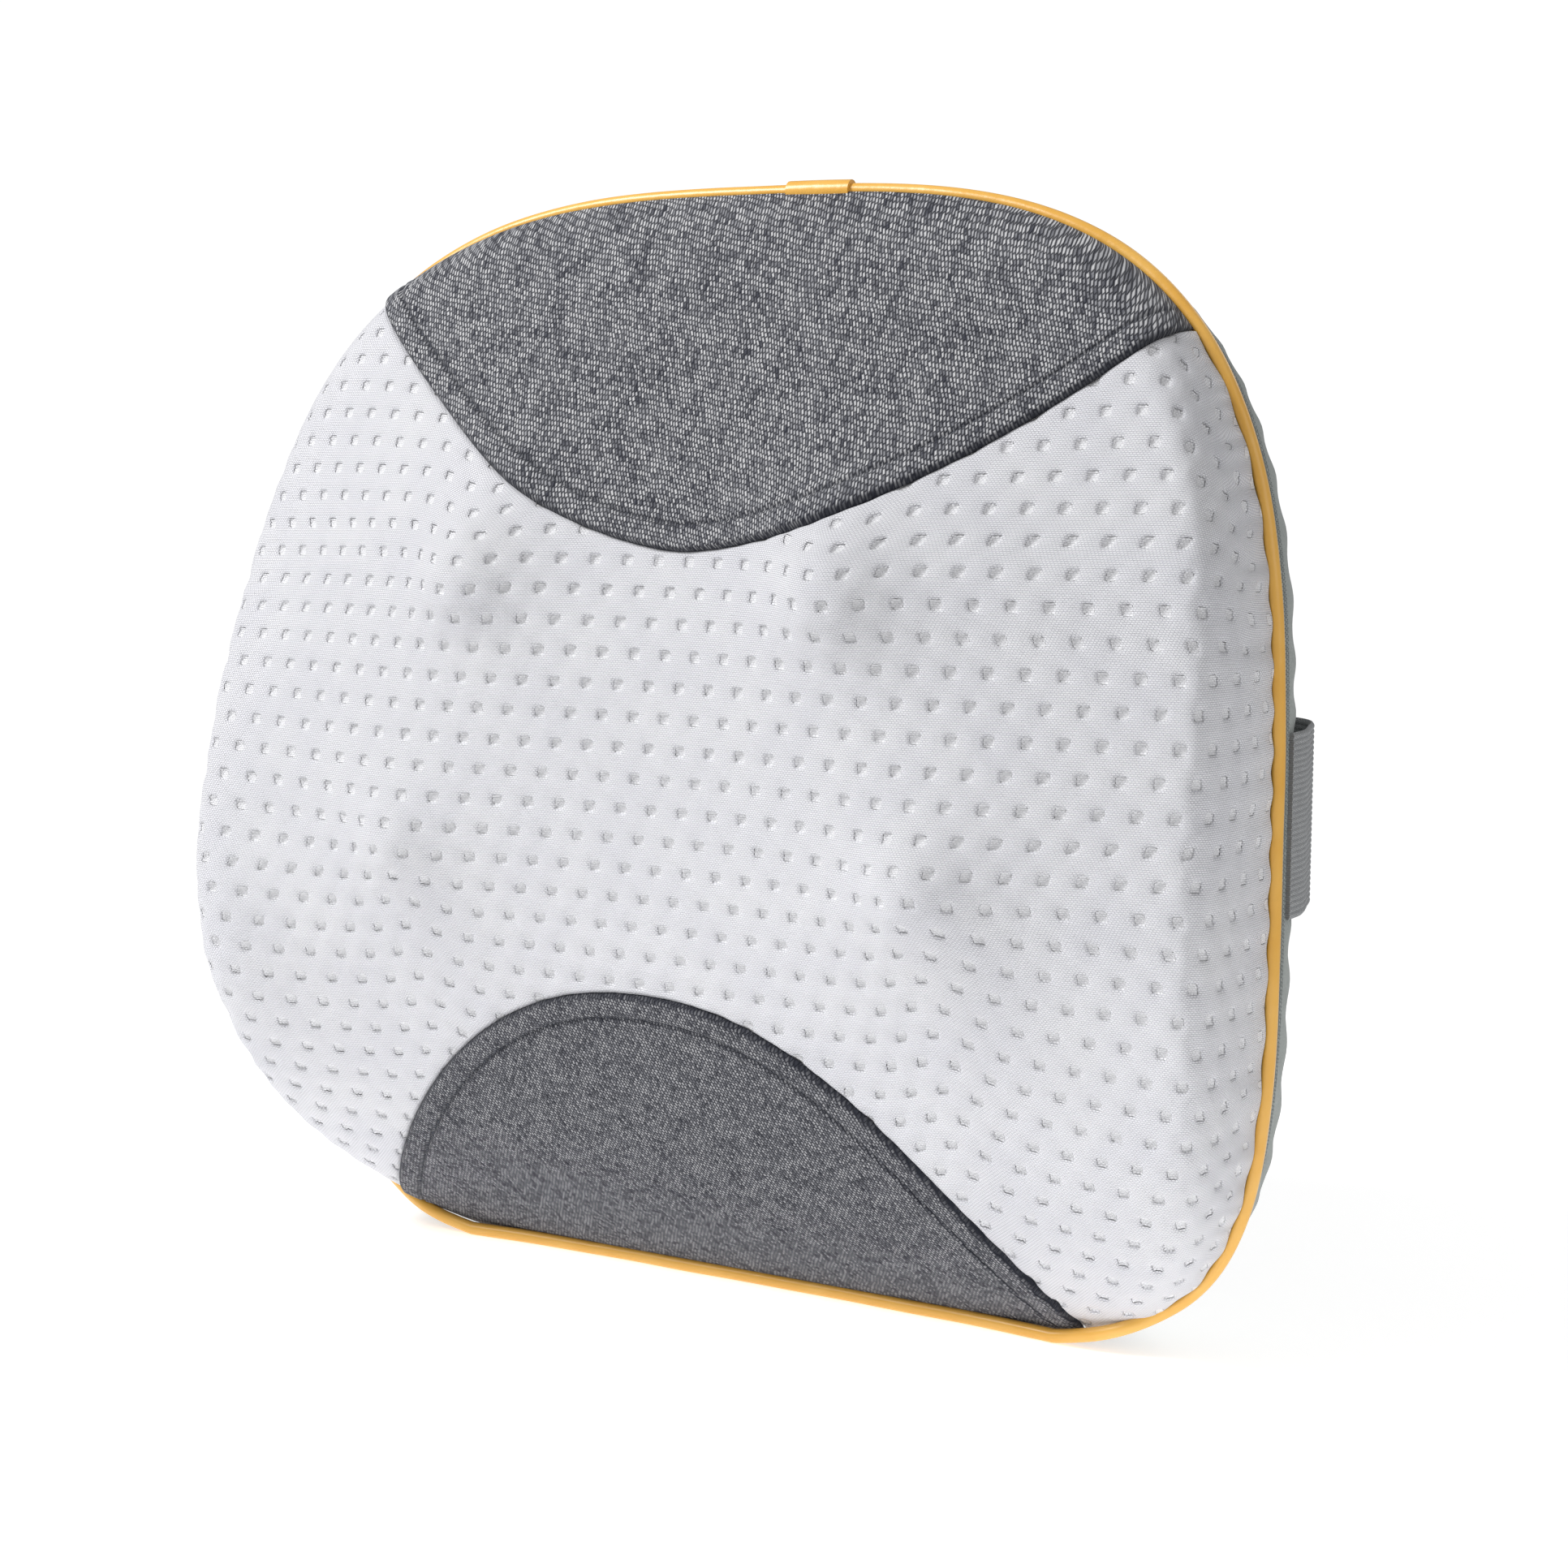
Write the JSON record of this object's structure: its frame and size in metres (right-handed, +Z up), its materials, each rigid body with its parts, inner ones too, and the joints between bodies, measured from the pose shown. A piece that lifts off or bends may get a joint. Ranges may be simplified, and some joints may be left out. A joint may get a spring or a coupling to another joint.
{
  "type": "lumbar support cushion",
  "caption": "Upright lumbar cushion with a dimpled mesh front, grey woven panels, piped edge, zipped back, elastic strap, and powered kneading heads inside.",
  "frame": {"origin": "under the middle of the cushion, on the surface it stands on", "axes": "+X to the right as seen from the front, the dimpled front faces -Y, +Z up"},
  "size_m": [0.3319, 0.11, 0.3236],
  "materials": {
    "spacer_mesh": "knitted, matt",
    "grey_weave": "woven melange, matt",
    "liner": "knitted, matt",
    "back_felt": "brushed, matt",
    "piping": "smooth coated, satin",
    "zip_tape": "woven, matt",
    "zip_coil": "moulded",
    "zip_metal": "plated, satin",
    "strap": "ribbed elastic",
    "shell_plastic": "moulded",
    "dark_plastic": "moulded",
    "wheel_plastic": "moulded",
    "head_plastic": "moulded, translucent",
    "steel": "machined",
    "motor_steel": "plated",
    "bronze": "sintered",
    "board": "solder mask",
    "button_plastic": "moulded",
    "bezel_plastic": "moulded",
    "black_plastic": "moulded"
  },
  "bodies": {
    "cushion": {"back_cover": "back_felt", "button_bezel": "bezel_plastic", "button_switch": "black_plastic", "circuit_board": "board", "elastic_strap": "strap", "front_mesh_panel": "spacer_mesh", "front_shell": "shell_plastic", "front_zip_tape": "zip_tape", "gear_case": "dark_plastic", "gear_cover": "dark_plastic", "gear_cover_screw_1": "steel", "gear_cover_screw_2": "steel", "gear_cover_screw_3": "steel", "gear_cover_screw_4": "steel", "gearbox_bracket": "steel", "inner_liner": "liner", "left_shaft_bush": "bronze", "lower_grey_panel": "grey_weave", "motor": "motor_steel", "piping": "piping", "piping_joint_tab": "piping", "power_socket": "black_plastic", "rear_shell": "shell_plastic", "rear_zip_tape": "zip_tape", "right_shaft_bush": "bronze", "shell_screw_1": "steel", "shell_screw_2": "steel", "shell_screw_3": "steel", "shell_screw_4": "steel", "upper_grey_panel": "grey_weave", "zip_coil": "zip_coil"},
    "left_arm": {"left_arm": "dark_plastic", "left_arm_shaft": "steel", "left_worm_wheel": "wheel_plastic", "left_upper_head_screw": "steel", "left_lower_head_screw": "steel"},
    "right_arm": {"right_arm": "dark_plastic", "right_arm_shaft": "steel", "right_worm_wheel": "wheel_plastic", "right_upper_head_screw": "steel", "right_lower_head_screw": "steel"},
    "left_upper_head": {"left_upper_head": "head_plastic"},
    "left_lower_head": {"left_lower_head": "head_plastic"},
    "right_upper_head": {"right_upper_head": "head_plastic"},
    "right_lower_head": {"right_lower_head": "head_plastic"},
    "rotor": {"motor_shaft": "steel", "left_worm": "steel", "right_worm": "steel"},
    "zip_slider": {"zip_slider": "zip_metal"},
    "zip_pull": {"zip_pull": "zip_metal"},
    "power_button": {"power_button": "button_plastic"}
  },
  "joints": [
    {"name": "left_arm_spin", "type": "hinge", "parent": "cushion", "child": "left_arm", "pos_m": [-0.0713, -0.0137, 0.184], "axis": [0, 1, 0], "continuous": true},
    {"name": "right_arm_spin", "type": "hinge", "parent": "cushion", "child": "right_arm", "pos_m": [0.0713, -0.0137, 0.184], "axis": [0, 1, 0], "continuous": true},
    {"name": "rotor_spin", "type": "hinge", "parent": "cushion", "child": "rotor", "pos_m": [0, 0.0182, 0.157], "axis": [1, 0, 0], "continuous": true},
    {"name": "left_upper_head_spin", "type": "hinge", "parent": "left_arm", "child": "left_upper_head", "pos_m": [-0.05854, -0.02, 0.22022], "axis": [0, 1, 0], "continuous": true},
    {"name": "left_lower_head_spin", "type": "hinge", "parent": "left_arm", "child": "left_lower_head", "pos_m": [-0.08406, -0.02, 0.14778], "axis": [0, 1, 0], "continuous": true},
    {"name": "right_upper_head_spin", "type": "hinge", "parent": "right_arm", "child": "right_upper_head", "pos_m": [0.05854, -0.02, 0.22022], "axis": [0, 1, 0], "continuous": true},
    {"name": "right_lower_head_spin", "type": "hinge", "parent": "right_arm", "child": "right_lower_head", "pos_m": [0.08406, -0.02, 0.14778], "axis": [0, 1, 0], "continuous": true},
    {"name": "zip_slide", "type": "slide", "parent": "cushion", "child": "zip_slider", "axis": [0, 0, 1], "range_m": [-0.04, 0.05]},
    {"name": "zip_pull_swing", "type": "hinge", "parent": "zip_slider", "child": "zip_pull", "pos_m": [-0.1653, 0.0046, 0.1315], "axis": [0, 1, 0], "range_deg": [0, 150]},
    {"name": "button_press", "type": "slide", "parent": "cushion", "child": "power_button", "axis": [0.8059, -0.5921, 0], "range_m": [0, 0.0015], "stiffness_N_per_m": 400}
  ],
  "couplings": [
    {"joint": "left_arm_spin", "follows": "rotor_spin", "ratio": 0.041667},
    {"joint": "right_arm_spin", "follows": "rotor_spin", "ratio": -0.041667}
  ]
}
